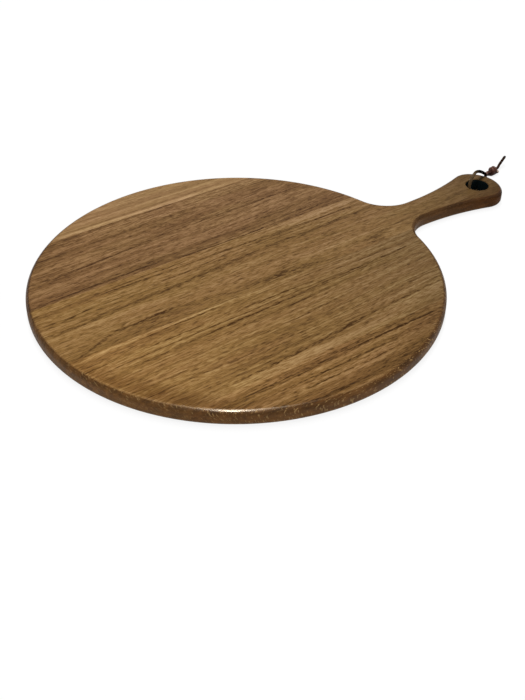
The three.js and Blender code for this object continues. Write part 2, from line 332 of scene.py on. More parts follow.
# Board's outline, as arcs that meet in line
def rear_arcs():
    """Rear half of the outline, from the handle's end to the back of the disc: (centre x, centre y, radius,
    first angle, last angle, wood side), where the wood side is 1 inside the arc and -1 outside it."""
    shoulder_y = NECK_HALF + SHOULDER_RADIUS
    shoulder_x = math.sqrt((DISC_RADIUS + SHOULDER_RADIUS) ** 2 - shoulder_y ** 2)
    shoulder_angle = math.atan2(shoulder_y, shoulder_x)
    end_radius = BULB_HALF + END_FLATNESS
    end_x = HANDLE_END - end_radius
    corner_y = BULB_HALF - BULB_CORNER_RADIUS
    corner_x = end_x + math.sqrt((end_radius - BULB_CORNER_RADIUS) ** 2 - corner_y ** 2)
    end_angle = math.atan2(corner_y, corner_x - end_x)
    neck_x = shoulder_x + NECK_STRAIGHT
    rise = NECK_HALF - corner_y
    neck_radius = (
        ((corner_x - neck_x) ** 2 + rise ** 2 - BULB_CORNER_RADIUS ** 2) / (2 * (BULB_HALF - NECK_HALF))
    )
    neck_y = NECK_HALF + neck_radius
    neck_angle = math.atan2(corner_y - neck_y, corner_x - neck_x)
    return {
        "end": (end_x, 0, end_radius, 0, end_angle, 1),
        "corner": (corner_x, corner_y, BULB_CORNER_RADIUS, end_angle, math.pi + neck_angle, 1),
        "neck": (neck_x, neck_y, neck_radius, neck_angle, -math.pi / 2, -1),
        "shoulder": (shoulder_x, shoulder_y, SHOULDER_RADIUS, 1.5 * math.pi, math.pi + shoulder_angle, -1),
        "disc": (0, 0, DISC_RADIUS, shoulder_angle, math.pi, 1),
    }


def mirrored(arc):
    """The same arc on the front side of the handle's middle line, run the other way."""
    x, y, radius, first, last, side = arc
    return (x, -y, radius, -last, -first, side)


def edge_profile():
    """Inset from the outline and height, from the top down: a quarter-round, the wall and a quarter-round."""
    angle = np.linspace(0, math.pi / 2, EDGE_STEPS + 1)
    inset = EDGE_RADIUS * (1 - np.sin(angle))
    drop = EDGE_RADIUS * (1 - np.cos(angle))
    return np.concatenate([inset, inset[::-1]]), np.concatenate([THICKNESS - drop, drop[::-1]])


def cut_angle(arc, inset, y, near):
    """Angle at which the arc, moved into the wood by the inset, crosses the line at y, near a given angle."""
    _, centre_y, radius, _, _, side = arc
    rising = np.arcsin(np.clip((y - centre_y) / (radius - side * inset), -1, 1))
    turns = 2 * math.pi * np.array([-1, 0, 1])[:, None]
    options = np.concatenate([rising + turns, math.pi - rising + turns])
    best = np.abs(options - near).argmin(axis=0)
    return np.take_along_axis(options, best[None, :], axis=0)[0]


def rim_strip(arcs, first_cut, last_cut):
    """The edge profile carried along a run of arcs, as a grid of points: rows along the outline, columns down
    the profile, with the number of the last row of each arc. The cuts are the y of the glue lines where the
    run begins and ends."""
    inset, height = edge_profile()
    rows = []
    marks = []
    for k, arc in enumerate(arcs):
        x, y, radius, first, last, side = arc
        start = np.full_like(inset, first)
        stop = np.full_like(inset, last)
        if k == 0:
            start = cut_angle(arc, inset, first_cut, first + CUT_SEARCH * (last - first))
        if k == len(arcs) - 1:
            stop = cut_angle(arc, inset, last_cut, last + CUT_SEARCH * (first - last))
        count = max(LEAST_ARC_STEPS, math.ceil(abs(stop - start).max() / ARC_STEP))
        t = np.linspace(0, 1, count + 1)
        angle = start + t[:, None] * (stop - start)
        reach = radius - side * inset
        level = np.broadcast_to(height, angle.shape)
        grid = np.stack([x + reach * np.cos(angle), y + reach * np.sin(angle), level], axis=2)
        joined = k > 0 and np.allclose(rows[-1], grid[0], atol=SAME_PLACE)
        rows.extend(grid[1:] if joined else grid)
        marks.append(len(rows) - 1)
    return np.array(rows), marks


def hole_wall():
    """The hanging hole: its section, a rounded rim, the wall and a rounded rim, turned about its axis."""
    angle = np.linspace(0, math.pi / 2, EDGE_STEPS + 1)
    out = HOLE_RADIUS + HOLE_RIM_RADIUS * (1 - np.sin(angle))
    drop = HOLE_RIM_RADIUS * (1 - np.cos(angle))
    reach = np.concatenate([out, out[::-1]])
    height = np.concatenate([THICKNESS - drop, drop[::-1]])
    turn = 2 * math.pi * np.arange(HOLE_STEPS)[:, None] / HOLE_STEPS
    level = np.broadcast_to(height, (HOLE_STEPS, len(height)))
    return np.stack([HOLE_X + reach * np.cos(turn), reach * np.sin(turn), level], axis=2)


def closed_stave(name, strips, glue_faces, flats, hole=None):
    """A stave from its rim strips: the strips and the hole as smooth grids, the glued sides and the top and
    bottom as flat faces between their edges. flats gives each flat as runs of (grid, first row, last row)."""
    grids = strips + ([hole] if hole is not None else [])
    columns = grids[0].shape[1]
    firsts = np.concatenate([[0], np.cumsum([g.shape[0] * columns for g in grids])]).astype(int)
    vertices = np.concatenate([g.reshape(-1, 3) for g in grids])
    faces = []
    for k, grid in enumerate(grids):
        faces += grid_faces(grid.shape[0], columns, int(firsts[k]), closed=grid is hole)
    rounded = len(faces)

    def corners(k, row, column):
        """Numbers of a grid's points, from arrays or single values of row and column."""
        return (firsts[k] + row % len(grids[k]) * columns + column).tolist()

    down = np.arange(columns)
    for (k, row), (other, other_row) in glue_faces:
        faces.append(corners(k, row, down) + corners(other, other_row, down[::-1]))
    for runs in flats:
        for column in (0, columns - 1):
            loop = []
            for k, first, last in runs:
                step = 1 if last >= first else -1
                loop += corners(k, np.arange(first, last + step, step), column)
            faces.append(loop)
    made = mesh_object(name, vertices, faces, [True] * rounded + [False] * (len(faces) - rounded))
    turn_outwards(made)
    return made


def simple_stave(name, right, left):
    """A stave between two glue lines with one rim strip at each end."""
    right_rows = right[0]
    left_rows = left[0]
    right_last = len(right_rows) - 1
    left_last = len(left_rows) - 1
    glue = [((0, right_last), (1, 0)), ((1, left_last), (0, 0))]
    return closed_stave(name, [right_rows, left_rows], glue, [[(0, 0, right_last), (1, 0, left_last)]])


def edge_stave(name, strip):
    """A stave at the disc's edge: one rim strip and one glue line."""
    rows = strip[0]
    last = len(rows) - 1
    return closed_stave(name, [rows], [((0, last), (0, 0))], [[(0, 0, last)]])


def handle_stave(name, right, left):
    """The middle stave, whose flats are two halves that meet on the middle line on both sides of the hole."""
    right_rows, right_marks = right
    left_rows, left_marks = left
    tip = right_marks[ARCS_BEFORE_TIP - 1]
    back = left_marks[0]
    right_last = len(right_rows) - 1
    left_last = len(left_rows) - 1
    half_turn = HOLE_STEPS // 2
    rear_half = [(0, tip, right_last), (1, 0, back), (2, half_turn, 0)]
    front_half = [(1, back, left_last), (0, 0, tip), (2, HOLE_STEPS, half_turn)]
    glue = [((0, right_last), (1, 0)), ((1, left_last), (0, 0))]
    return closed_stave(name, [right_rows, left_rows], glue, [rear_half, front_half], hole=hole_wall())


def cut_notch(stave):
    """Cuts the cord's notch into the underside, from the hole to the handle's end: a slot with a half-round
    top, open below, carried along the loop's direction."""
    half = CORD_RADIUS + CORD_CLEARANCE
    angle = np.linspace(0, math.pi, NOTCH_STEPS + 1)
    aside = np.concatenate([[half], half * np.cos(angle), [-half]])
    height = np.concatenate([[-half], CORD_FLOOR + half * np.sin(angle), [-half]])
    start = loop_point(0, LOOP_OFFSET, 0)
    section = start + aside[:, None] * ASIDE + height[:, None] * UP
    ends = np.concatenate([section, section + 2 * (HANDLE_END - HOLE_X) * ALONG])
    count = len(section)
    sides = [[i, (i + 1) % count, count + (i + 1) % count, count + i] for i in range(count)]
    faces = sides + [list(range(count))[::-1], list(range(count, 2 * count))]
    cutter = mesh_object("notch_cutter", ends, faces, [False] * len(faces))
    turn_outwards(cutter)
    cut = stave.modifiers.new("cord_notch", "BOOLEAN")
    cut.operation = "DIFFERENCE"
    cut.solver = "EXACT"
    cut.object = cutter
    result = bpy.data.meshes.new_from_object(stave.evaluated_get(bpy.context.evaluated_depsgraph_get()))
    stave.modifiers.clear()
    stave.data = result
    bpy.data.objects.remove(cutter)
    turn_outwards(stave)


def build_staves():
    """The five staves, from runs of the outline between the glue lines."""
    arcs = rear_arcs()
    end, corner, neck, shoulder, disc = (arcs[k] for k in ("end", "corner", "neck", "shoulder", "disc"))
    spare = (stave_box["rear_edge_stave"][0].y - stave_box["rear_stave"][1].y - GLUE_LINE) / 2
    side = {name: (low.y - spare, high.y + spare) for name, (low, high) in stave_box.items()}

    def disc_run(first_y, last_y, first_left, last_left):
        """The arc of the disc from one y to another, each on its left or its right side."""
        first = math.asin(first_y / DISC_RADIUS)
        last = math.asin(last_y / DISC_RADIUS)
        first = math.pi - first if first_left else first % (2 * math.pi)
        last = math.pi - last if last_left else last % (2 * math.pi)
        return (0, 0, DISC_RADIUS, first, last, 1)

    made = {}
    low = side["rear_edge_stave"][0]
    made["rear_edge_stave"] = edge_stave(
        "rear_edge_plank", rim_strip([disc_run(low, low, False, True)], low, low)
    )
    low, high = side["rear_stave"]
    made["rear_stave"] = simple_stave(
        "rear_plank",
        rim_strip([disc_run(low, high, False, False)], low, high),
        rim_strip([disc_run(high, low, True, True)], high, low),
    )
    low, high = side["handle_stave"]
    front_side = [mirrored(a) for a in (shoulder, neck, corner, end)]
    rear_side = [end, corner, neck, shoulder, disc_run(high, high, False, False)]
    right = rim_strip(front_side + rear_side, low, high)
    left = rim_strip([disc_run(high, 0, True, True), disc_run(0, low, True, True)], high, low)
    made["handle_stave"] = handle_stave("handle_plank", right, left)
    cut_notch(made["handle_stave"])
    low, high = side["front_stave"]
    lower_right = (0, 0, DISC_RADIUS, math.asin(low / DISC_RADIUS), -disc[3], 1)
    made["front_stave"] = simple_stave(
        "front_plank",
        rim_strip([lower_right, mirrored(shoulder)], low, high),
        rim_strip([disc_run(high, low, True, True)], high, low),
    )
    high = side["front_edge_stave"][1]
    dip = math.asin(high / DISC_RADIUS)
    front_edge = (0, 0, DISC_RADIUS, -math.pi - dip, dip, 1)
    made["front_edge_stave"] = edge_stave("front_edge_plank", rim_strip([front_edge], high, high))
    return made


# Materials
def linear(hex_colour):
    """An sRGB hex colour as linear red, green, blue and alpha."""
    parts = [int(hex_colour[i:i + 2], 16) / 255 for i in (1, 3, 5)]
    return tuple(v / 12.92 if v <= 0.04045 else ((v + 0.055) / 1.055) ** 2.4 for v in parts) + (1.0,)


def add(tree, kind, inputs=None, **settings):
    """Adds a node, sets its properties, and fills inputs with a value, a socket or a node's first output."""
    made = tree.nodes.new(kind)
    for name, value in settings.items():
        setattr(made, name, value)
    for socket, value in (inputs or {}).items():
        if isinstance(value, bpy.types.Node):
            value = value.outputs[0]
        if isinstance(value, bpy.types.NodeSocket):
            tree.links.new(value, made.inputs[socket])
        else:
            made.inputs[socket].default_value = value
    return made


def new_material(name):
    """An empty node material and its tree."""
    material = bpy.data.materials.new(name)
    material.use_nodes = True
    material.node_tree.nodes.clear()
    return material, material.node_tree


MATH = "ShaderNodeMath"
VECTOR = "ShaderNodeVectorMath"
NOISE = "ShaderNodeTexNoise"
RANGE = "ShaderNodeMapRange"
MIX = "ShaderNodeMix"
SPLIT = "ShaderNodeSeparateXYZ"
JOIN = "ShaderNodeCombineXYZ"

# Oak's marks: millimetres along, across and through the grain, then detail and the stretch of noise in use
MARKS = {
    "sway": ((240, 80, 80), 1.0, (0.25, 0.75)),
    "ripple": ((50, 14, 14), 1.0, (0.25, 0.75)),
    "patches": ((70, 9, 9), 1.0, (0.35, 0.62)),
    "rows": ((4.5, 1.3, 1.3), 0.0, (0.36, 0.6)),
    "streaks": ((420, 15, 15), 3.0, (0.3, 0.7)),
    "mottle": ((9, 2.0, 2.0), 1.0, (0.3, 0.7)),
    "dashes": ((9, 1.4, 1.4), 1.0, (0.0, 1.0)),
    "pores": ((5, 0.45, 0.45), 0.0, (0.0, 1.0)),
    "rays": ((9, 1.1, 10), 0.0, (0.58, 0.72)),
    "warmth": ((90, 14, 14), 1.0, (0.35, 0.65)),
    "mellow": ((20, 7, 5), 1.0, (0.32, 0.68)),
    "ticks": ((3, 0.7, 5), 1.0, (0.6, 0.72)),
}
STREAK_RAGGEDNESS = 0.95
PLANK_STEP = (911, 0, 53)  # from one plank's place in the pattern to the next one's
RING_WANDER = 2.2  # how many rings their count wanders
RING_WANDER_SCALE = 0.43
EARLY_FULL, EARLY_END = 0.08, 0.4  # share of a ring at which its early wood is darkest, and ends
RING_CHANCE_LOW, RING_CHANCE_HIGH = 0.1, 0.9
RING_WEAKEST = 0.1
PATCH_LEAST = 0.35  # dark lines are broken into patches and rows of pores
ROW_LEAST, ROW_MOST = 0.3, 1.25
DASH_GATHER, DASH_FROM, DASH_TO = 0.14, 0.5, 0.66  # dashes and pores gather in the early wood
PORE_GATHER, PORE_FROM, PORE_TO = 0.1, 0.58, 0.68
FIGURE_WAVER = 0.6  # share of the grain's waver
FIGURE_BEYOND, FIGURE_FADE = 8, 30  # a line of figure fades beyond its ends, and from before them
OWN_TONE = 0.5  # the shade of a plank's middle colour
CALM_FROM, CALM_TO, CALM_SHARE = 120.0, 250.0, 0.7  # towards the handle the marks grow weaker
ROSY = (1.0, 0.965, 1.03)
LIGHT_FALLOFF_FROM, LIGHT_FALLOFF_TO = -180.0, 200.0  # painted shade and a painted cool sheen, from the back of the disc to the neck

# Oak's finish: places in millimetres, tilts as the normal's upward part, stains, painted light and painted
# shade as factors on linear colour
ROUNDING_FROM, ROUNDING_TO = 0.998, 0.9  # where the top ends, and the rim's oil and painted shade are full
WALL_FROM, WALL_TO = 0.85, 0.6
FOOT_FROM, FOOT_TO = 0.05, -0.6  # the lower rounding faces down
WALL_TILT, CREST_TILT = 0.1, 0.6
WALL_LIGHT, CREST_LIGHT = 1.15, 0.66  # painted shade: the upper rounding is the darkest of the rim, the wall lighter
# The rim's colour factor: partly the oil that end grain drinks, partly painted shade
RIM_OIL_AND_SHADE = (0.57, 0.45, 0.33)
RIM_EVENNESS = 0.5
RIM_LEAST, RIM_MOST = 0.72, 1.28
# Painted reflection of the white floor, which makes the lower rounding lighter and greyer
FOOT_REFLECTION = (1.15, 1.4, 1.9)
FRONT = (-0.087, -0.996, 0.0)
FRONT_FROM, FRONT_TO = 90.0, 140.0  # towards the front
MARGIN_FROM, MARGIN_TO = 165.0, 187.0  # out from the disc's centre
# Darker in a band along the front margin, and darker still at the front left
MARGIN_DARKENING = (0.83, 0.81, 0.78)
FRONT_LEFT = (-0.829, -0.559, 0.0)
FRONT_LEFT_FROM, FRONT_LEFT_TO = 171.0, 185.0  # towards the front left
FRONT_LEFT_END, FRONT_LEFT_FULL = 195.5, 193.5  # out from the disc's centre
FRONT_LEFT_DARKENING = (0.72, 0.66, 0.58)
# Painted shadow: the hole's wall is painted nearly black
HOLE_SHADOW_COLOUR = "#1b2628"
HOLE_WALL_FROM, HOLE_WALL_TO = 0.3, 0.02  # outside the hole's radius
HOLE_RIM_FROM, HOLE_RIM_TO = 1.5, 3.0
GRIP_AND_SHADE_FROM, GRIP_AND_SHADE_TO = 190.0, 345.0  # along the handle, where the painted shade grows and the wall's polish wanes
# Painted shade on the handle: on its top, deeper on its front side, and on its rim
HANDLE_END_SHADE = (0.5, 0.5, 0.5, 1.0)
FRONT_SHADE_FROM, FRONT_SHADE_TO = -6.0, -22.0  # across the handle, to its front side, where the painted shade is deepest
FRONT_SIDE_SHADE = (0.3, 0.26, 0.2, 1.0)
HANDLE_RIM_SHADE = (0.58, 0.42, 0.32, 1.0)
DARK_MOTTLE_ROUGHNESS, PALE_MOTTLE_ROUGHNESS = 0.28, 0.22
ROUNDING_ROUGHNESS = 0.17
WALL_ROUGHNESS = 0.6
TOP_POLISH = 0.18
REARWARD = (0.58, 0.81, 0.0)
REAR_FACING, FRONT_FACING = 0.05, -0.12  # the normal's rearward part
REAR_POLISH, FRONT_POLISH = 0.1, 0.95
WALL_POLISH, GRIPPED_WALL_POLISH = 0.4, 0.1
OIL_TINT = "#ffeed6"
OIL_IOR = 1.45
PORE_DEPTH = 0.1 * MM
PORE_RELIEF = 0.15


def grain_marks(tree, place, kind, least=0.0, most=1.0, clamp=True, ragged=0.5):
    """Noise at the size of one kind of mark, with the stretch of its values spread over least to most."""
    size, detail, (low, high) = MARKS[kind]
    shrunk = add(tree, VECTOR, {0: place, 1: tuple(1 / v for v in size)}, operation="MULTIPLY")
    noise = add(tree, NOISE, {"Vector": shrunk, "Scale": 1.0, "Detail": detail, "Roughness": ragged})
    return add(tree, RANGE, {0: noise, 1: low, 2: high, 3: least, 4: most}, clamp=clamp)


def figure_line(tree, x, y, waver, broken, start, stop, half, amount):
    """One line of the plank's figure, from a start to a stop in millimetres, that wavers with the grain,
    breaks up, and fades out at its sides and its ends."""
    slope = (stop[1] - start[1]) / (stop[0] - start[0])
    level = add(tree, MATH, {0: x, 1: -slope, 2: y}, operation="MULTIPLY_ADD")
    wavering = add(tree, MATH, {0: waver, 1: FIGURE_WAVER, 2: level}, operation="MULTIPLY_ADD")
    offset = add(tree, MATH, {0: wavering, 1: start[1] - slope * start[0]}, operation="SUBTRACT")
    away = add(tree, MATH, {0: offset}, operation="ABSOLUTE")
    across = add(tree, RANGE, {0: away, 1: half, 2: 0.0, 3: 0.0, 4: amount}, interpolation_type="SMOOTHSTEP")
    middle = add(tree, MATH, {0: x, 1: (start[0] + stop[0]) / 2}, operation="SUBTRACT")
    from_middle = add(tree, MATH, {0: middle}, operation="ABSOLUTE")
    reach = (stop[0] - start[0]) / 2
    ends = add(tree, RANGE, {0: from_middle, 1: reach + FIGURE_BEYOND, 2: max(reach - FIGURE_FADE, 0)})
    whole = add(tree, MATH, {0: across, 1: ends}, operation="MULTIPLY")
    return add(tree, MATH, {0: whole, 1: broken}, operation="MULTIPLY")


def tinted(tree, colour, multiplier, share):
    """A colour multiplied by a factor, as far as a share from 0 to 1 says: the wood's tones and darkenings,
    and painted light and shade.
    """
    multiplied = add(tree, VECTOR, {0: colour, 1: multiplier}, operation="MULTIPLY")
    return add(tree, MIX, {0: share, 6: colour, 7: multiplied}, data_type="RGBA").outputs[2]


def grain_course(tree, plank, here, x, y, z):
    """The grain's course: how far it wavers at a place, the distance across the grain once its waver and
    slope are taken out, and the place in the plank so straightened."""
    own_place = tuple(plank["seed"] * v for v in PLANK_STEP)
    other = add(tree, VECTOR, {0: here, 1: own_place}, operation="ADD")
    sway = grain_marks(tree, other, "sway", -plank["sway"], plank["sway"], clamp=False)
    ripple = grain_marks(tree, other, "ripple", -plank["ripple"], plank["ripple"], clamp=False)
    waver = add(tree, MATH, {0: sway, 1: ripple}, operation="ADD")
    level = add(tree, MATH, {0: x, 1: -plank["slope"], 2: y}, operation="MULTIPLY_ADD")
    across = add(tree, MATH, {0: level, 1: waver}, operation="ADD")
    along_grain = add(tree, JOIN, {0: x, 1: across, 2: z})
    straight = add(tree, VECTOR, {0: along_grain, 1: own_place}, operation="ADD")
    return waver, across, straight


def growth_rings(tree, plank, x, z, across):
    """Rings round the pith, whose count wanders: the early wood of each, of the ring's own strength. Also the
    place measured along the grain, round the pith and out from it, for the rays."""
    pith_y, pith_z = plank["pith"]
    from_pith_y = add(tree, MATH, {0: across, 1: pith_y}, operation="SUBTRACT")
    lean_z = add(tree, MATH, {0: x, 1: -plank["lean"], 2: z}, operation="MULTIPLY_ADD")
    from_pith_z = add(tree, MATH, {0: lean_z, 1: pith_z}, operation="SUBTRACT")
    spoke = add(tree, JOIN, {1: from_pith_y, 2: from_pith_z})
    distance = add(tree, VECTOR, {0: spoke}, operation="LENGTH").outputs["Value"]
    rings = add(tree, MATH, {0: distance, 1: plank["ring"]}, operation="DIVIDE")
    wander = add(tree, NOISE, {"W": rings, "Scale": RING_WANDER_SCALE, "Detail": 0.0}, noise_dimensions="1D")
    counted = add(tree, MATH, {0: wander, 1: RING_WANDER, 2: rings}, operation="MULTIPLY_ADD")
    phase = add(tree, MATH, {0: counted}, operation="FRACT")
    number = add(tree, MATH, {0: counted}, operation="FLOOR")
    rise = add(tree, RANGE, {0: phase, 1: 0.0, 2: EARLY_FULL})
    fall = add(tree, RANGE, {0: phase, 1: EARLY_END, 2: EARLY_FULL}, interpolation_type="SMOOTHSTEP")
    early = add(tree, MATH, {0: rise, 1: fall}, operation="MULTIPLY")
    chance = add(tree, "ShaderNodeTexWhiteNoise", {"W": number}, noise_dimensions="1D")
    spread = {0: chance, 1: RING_CHANCE_LOW, 2: RING_CHANCE_HIGH, 3: RING_WEAKEST, 4: 1.0}
    strength = add(tree, RANGE, spread)
    ring = add(tree, MATH, {0: early, 1: strength}, operation="MULTIPLY")
    bearing = add(tree, MATH, {0: from_pith_z, 1: from_pith_y}, operation="ARCTAN2")
    arc = add(tree, MATH, {0: bearing, 1: plank["ray_reach"]}, operation="MULTIPLY")
    ray_place = add(tree, JOIN, {0: x, 1: arc, 2: distance})
    return ring, ray_place


def grain_shade(tree, plank, x, y, waver, straight, ring, ray_place):
    """Shade of the wood, where 0 is the darkest pore, the plank's own tone lies halfway and 1 is its palest
    streak: a weighted sum of its marks, then its lines of figure. Also the mottle and the pores, for the
    finish. Dashes and pores are drawn coarser than real ones, so that they show."""
    patches = grain_marks(tree, straight, "patches", PATCH_LEAST)
    rows = grain_marks(tree, straight, "rows", ROW_LEAST, ROW_MOST)
    dotted = add(tree, MATH, {0: patches, 1: rows}, operation="MULTIPLY")
    ring_line = add(tree, MATH, {0: ring, 1: dotted}, operation="MULTIPLY")
    streaks = grain_marks(tree, straight, "streaks", -1.0, 1.0, clamp=False, ragged=STREAK_RAGGEDNESS)
    mottle = grain_marks(tree, straight, "mottle", -1.0, 1.0, clamp=False)
    dash_noise = grain_marks(tree, straight, "dashes")
    gathered_dashes = add(tree, MATH, {0: ring, 1: DASH_GATHER, 2: dash_noise}, operation="MULTIPLY_ADD")
    dashes = add(tree, RANGE, {0: gathered_dashes, 1: DASH_FROM, 2: DASH_TO})
    pore_noise = grain_marks(tree, straight, "pores")
    gathered_pores = add(tree, MATH, {0: ring, 1: PORE_GATHER, 2: pore_noise}, operation="MULTIPLY_ADD")
    pores = add(tree, RANGE, {0: gathered_pores, 1: PORE_FROM, 2: PORE_TO})
    rays = grain_marks(tree, ray_place, "rays")
    shade = add(tree, MATH, {0: streaks, 1: plank["streak"], 2: plank["lift"]}, operation="MULTIPLY_ADD")
    amounts = (
        (ring_line, -plank["ring_dark"]), (dashes, -plank["dash"]), (mottle, plank["mottle"]),
        (pores, -plank["dash"]), (rays, plank["ray"]),
    )
    for marks, amount in amounts:
        shade = add(tree, MATH, {0: marks, 1: amount, 2: shade}, operation="MULTIPLY_ADD")
    calm = add(tree, RANGE, {0: x, 1: CALM_FROM, 2: CALM_TO, 3: 1.0, 4: CALM_SHARE})
    shade = add(tree, MATH, {0: shade, 1: calm, 2: OWN_TONE}, operation="MULTIPLY_ADD")
    for start, stop, half, amount in plank["figure"]:
        broken = dotted if amount < 0 else patches
        mark = figure_line(tree, x, y, waver, broken, start, stop, half, amount)
        shade = add(tree, MATH, {0: shade, 1: mark}, operation="ADD")
    return shade, mottle, pores


def wood_colour(tree, plank, x, shade, straight):
    """Colour of the wood from its shade, from dark to pale, a little rosier in places, and darker and greyer
    towards the handle, as painted shade and a painted cool sheen."""
    wood = add(tree, "ShaderNodeValToRGB", {0: shade})
    wood.color_ramp.elements.new(OWN_TONE)
    for element, at, colour in zip(wood.color_ramp.elements, (0.0, OWN_TONE, 1.0), plank["colours"]):
        element.position = at
        element.color = linear(colour)
    warmth = grain_marks(tree, straight, "warmth")
    warm = tinted(tree, wood, ROSY, warmth)
    # Painted shade and a painted cool sheen: the tone grows darker and greyer towards the handle
    light_falloff = add(tree, RANGE, {0: x, 1: LIGHT_FALLOFF_FROM, 2: LIGHT_FALLOFF_TO})
    return tinted(tree, warm, plank["light_falloff"], light_falloff)


def rim_colour(tree, plank, wood, tilt, straight, ray_place):
    """Colour of the rim, where end grain drinks more oil: redder, more even and somewhat darker than the top,
    and darker still by painted shade, darkest on the upper rounding and lighter on the wall, with pale flecks
    of rays, and greyed on the lower rounding by a painted reflection of the white floor."""
    even = add(tree, MIX, {0: RIM_EVENNESS, 6: wood, 7: linear(plank["colours"][1])}, data_type="RGBA")
    multiplied = add(tree, VECTOR, {0: even.outputs[2], 1: RIM_OIL_AND_SHADE}, operation="MULTIPLY")
    # Painted shade: darkest on the upper rounding, lighter on the wall
    light = add(tree, RANGE, {0: tilt, 1: WALL_TILT, 2: CREST_TILT, 3: WALL_LIGHT, 4: CREST_LIGHT})
    mellow = grain_marks(tree, straight, "mellow", RIM_LEAST, RIM_MOST)
    uneven_light = add(tree, MATH, {0: light, 1: mellow}, operation="MULTIPLY")
    edge = add(tree, VECTOR, {0: multiplied, "Scale": uneven_light}, operation="SCALE")
    ticks = grain_marks(tree, ray_place, "ticks")
    fleck = add(tree, MATH, {0: ticks, 1: plank["fleck"]}, operation="MULTIPLY")
    flecked = add(tree, MIX, {0: fleck, 6: edge, 7: linear(plank["colours"][2])}, data_type="RGBA").outputs[2]
    # Painted reflection of the white floor on the lower rounding
    foot = add(tree, RANGE, {0: tilt, 1: FOOT_FROM, 2: FOOT_TO})
    return tinted(tree, flecked, FOOT_REFLECTION, foot)


def top_colour(tree, wood, plane):
    """Colour of the top: the wood's own, darker in a band along the front margin, and darkest at the front
    left, just inside the rounding."""
    from_middle = add(tree, VECTOR, {0: plane}, operation="LENGTH").outputs["Value"]
    forward = add(tree, VECTOR, {0: plane, 1: FRONT}, operation="DOT_PRODUCT").outputs["Value"]
    outer = add(tree, RANGE, {0: from_middle, 1: MARGIN_FROM, 2: MARGIN_TO})
    front = add(tree, RANGE, {0: forward, 1: FRONT_FROM, 2: FRONT_TO})
    band = add(tree, MATH, {0: outer, 1: front}, operation="MULTIPLY")
    banded = tinted(tree, wood, MARGIN_DARKENING, band)
    leftward = add(tree, VECTOR, {0: plane, 1: FRONT_LEFT}, operation="DOT_PRODUCT").outputs["Value"]
    left = add(tree, RANGE, {0: leftward, 1: FRONT_LEFT_FROM, 2: FRONT_LEFT_TO})
    inside = add(tree, RANGE, {0: from_middle, 1: FRONT_LEFT_END, 2: FRONT_LEFT_FULL})
    corner = add(tree, MATH, {0: left, 1: inside}, operation="MULTIPLY")
    return tinted(tree, banded, FRONT_LEFT_DARKENING, corner)


